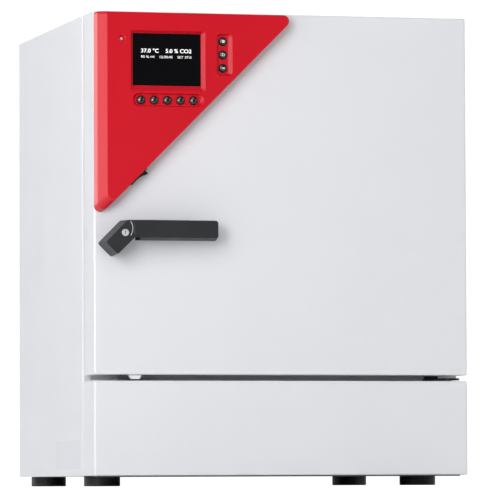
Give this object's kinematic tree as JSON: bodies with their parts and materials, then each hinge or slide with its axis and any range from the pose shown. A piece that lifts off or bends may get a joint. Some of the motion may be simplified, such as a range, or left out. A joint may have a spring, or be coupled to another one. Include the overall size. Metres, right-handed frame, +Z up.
{
  "type": "carbon dioxide incubator",
  "caption": "Benchtop carbon dioxide incubator with a hinged outer door, a glass inner door, a triangular control panel and perforated shelves in a steel chamber.",
  "frame": {"origin": "centre of the bounding box on the surface that the feet stand on", "axes": "+Z up, the door faces -Y, +X to the right as seen from the front"},
  "size_m": [0.58, 0.623, 0.7095],
  "materials": {
    "sheet_white": "textured powder coat",
    "base_grey": "powder coat",
    "stainless": "brushed",
    "zinc_steel": "zinc plated",
    "black_plastic": "fine grain",
    "key_black": "polished",
    "panel_red": "fine spark texture",
    "black_steel": "black coat",
    "white_plastic": "smooth",
    "silicone": "matte",
    "door_rubber": "matte",
    "foot_rubber": "matte",
    "foam": "open foam",
    "heater_foil": "satin",
    "pane_glass": "clear",
    "display_black": "polished",
    "circuit_green": "solder mask",
    "lock_chrome": "polished",
    "brass_fitting": "machined"
  },
  "bodies": {
    "housing": {"left_side_panel": "sheet_white", "right_side_panel": "sheet_white", "top_panel": "sheet_white", "rear_panel": "sheet_white", "base_tray": "base_grey", "service_floor": "zinc_steel", "front_frame": "sheet_white", "lower_front_cover": "sheet_white", "foot_front_left": "foot_rubber", "foot_front_right": "foot_rubber", "foot_rear_left": "foot_rubber", "foot_rear_right": "foot_rubber", "inner_chamber": "stainless", "heating_jacket": "heater_foil", "chamber_insulation": "foam", "chamber_seal": "silicone", "shelf_1": "stainless", "shelf_2": "stainless", "water_pan": "stainless", "climate_sensor": "white_plastic", "glass_hinge_upper": "stainless", "glass_hinge_lower": "stainless", "glass_catch": "white_plastic", "upper_hinge_bracket": "black_steel", "lower_hinge_bracket": "black_steel", "glide_ramp": "black_plastic", "latch_keeper": "zinc_steel", "power_inlet": "black_plastic", "gas_inlet": "brass_fitting"},
    "glass_door": {"glass_pane": "pane_glass", "glass_clamp_upper": "stainless", "glass_clamp_lower": "stainless", "glass_knob": "black_plastic"},
    "outer_door": {"door_outer_skin": "sheet_white", "door_inner_panel": "stainless", "door_insulation": "foam", "door_gasket": "door_rubber", "upper_hinge_block": "zinc_steel", "lower_hinge_block": "zinc_steel", "door_glide": "white_plastic", "handle_base": "black_plastic", "handle_pin": "zinc_steel", "panel_housing": "panel_red", "display_window": "display_black", "display_module": "zinc_steel", "controller_board": "circuit_green", "status_lamp": "white_plastic", "switch_casing": "black_plastic"},
    "handle": {"handle_lever": "black_plastic"},
    "latch": {"latch_tongue": "zinc_steel"},
    "lock": {"lock_cylinder": "lock_chrome"},
    "rocker": {"switch_rocker": "black_plastic"},
    "soft_key_1_body": {"soft_key_1": "key_black"},
    "soft_key_2_body": {"soft_key_2": "key_black"},
    "soft_key_3_body": {"soft_key_3": "key_black"},
    "soft_key_4_body": {"soft_key_4": "key_black"},
    "soft_key_5_body": {"soft_key_5": "key_black"},
    "menu_key_1_body": {"menu_key_1": "key_black"},
    "menu_key_2_body": {"menu_key_2": "key_black"},
    "menu_key_3_body": {"menu_key_3": "key_black"}
  },
  "joints": [
    {"name": "outer_door_hinge", "type": "hinge", "parent": "housing", "child": "outer_door", "pos_m": [0.273, -0.2385, 0.4378], "axis": [0, 0, 1], "range_deg": [0, 120]},
    {"name": "glass_door_hinge", "type": "hinge", "parent": "housing", "child": "glass_door", "pos_m": [0.2225, -0.195, 0.4378], "axis": [0, 0, 1], "range_deg": [0, 84]},
    {"name": "handle_pull", "type": "hinge", "parent": "outer_door", "child": "handle", "pos_m": [-0.236, -0.3015, 0.3822], "axis": [0, 0, -1], "range_deg": [0, 30], "stiffness_Nm_per_rad": 0.8},
    {"name": "latch_slide", "type": "slide", "parent": "outer_door", "child": "latch", "axis": [1, 0, 0], "range_m": [0, 0.006]},
    {"name": "lock_turn", "type": "hinge", "parent": "outer_door", "child": "lock", "pos_m": [-0.2515, -0.3105, 0.3759], "axis": [0, 1, 0], "range_deg": [0, 90]},
    {"name": "main_switch", "type": "hinge", "parent": "outer_door", "child": "rocker", "pos_m": [-0.22721, -0.2785, 0.46395], "axis": [0, -1, 0], "range_deg": [0, 20]},
    {"name": "soft_key_1_press", "type": "slide", "parent": "outer_door", "child": "soft_key_1_body", "axis": [0, 1, 0], "range_m": [0, 0.0015], "stiffness_N_per_m": 300},
    {"name": "soft_key_2_press", "type": "slide", "parent": "outer_door", "child": "soft_key_2_body", "axis": [0, 1, 0], "range_m": [0, 0.0015], "stiffness_N_per_m": 300},
    {"name": "soft_key_3_press", "type": "slide", "parent": "outer_door", "child": "soft_key_3_body", "axis": [0, 1, 0], "range_m": [0, 0.0015], "stiffness_N_per_m": 300},
    {"name": "soft_key_4_press", "type": "slide", "parent": "outer_door", "child": "soft_key_4_body", "axis": [0, 1, 0], "range_m": [0, 0.0015], "stiffness_N_per_m": 300},
    {"name": "soft_key_5_press", "type": "slide", "parent": "outer_door", "child": "soft_key_5_body", "axis": [0, 1, 0], "range_m": [0, 0.0015], "stiffness_N_per_m": 300},
    {"name": "menu_key_1_press", "type": "slide", "parent": "outer_door", "child": "menu_key_1_body", "axis": [0, 1, 0], "range_m": [0, 0.0015], "stiffness_N_per_m": 300},
    {"name": "menu_key_2_press", "type": "slide", "parent": "outer_door", "child": "menu_key_2_body", "axis": [0, 1, 0], "range_m": [0, 0.0015], "stiffness_N_per_m": 300},
    {"name": "menu_key_3_press", "type": "slide", "parent": "outer_door", "child": "menu_key_3_body", "axis": [0, 1, 0], "range_m": [0, 0.0015], "stiffness_N_per_m": 300}
  ],
  "couplings": [
    {"joint": "glass_door_hinge", "follows": "outer_door_hinge", "ratio": 0.7},
    {"joint": "latch_slide", "follows": "handle_pull", "m_per_rad": 0.011459}
  ]
}
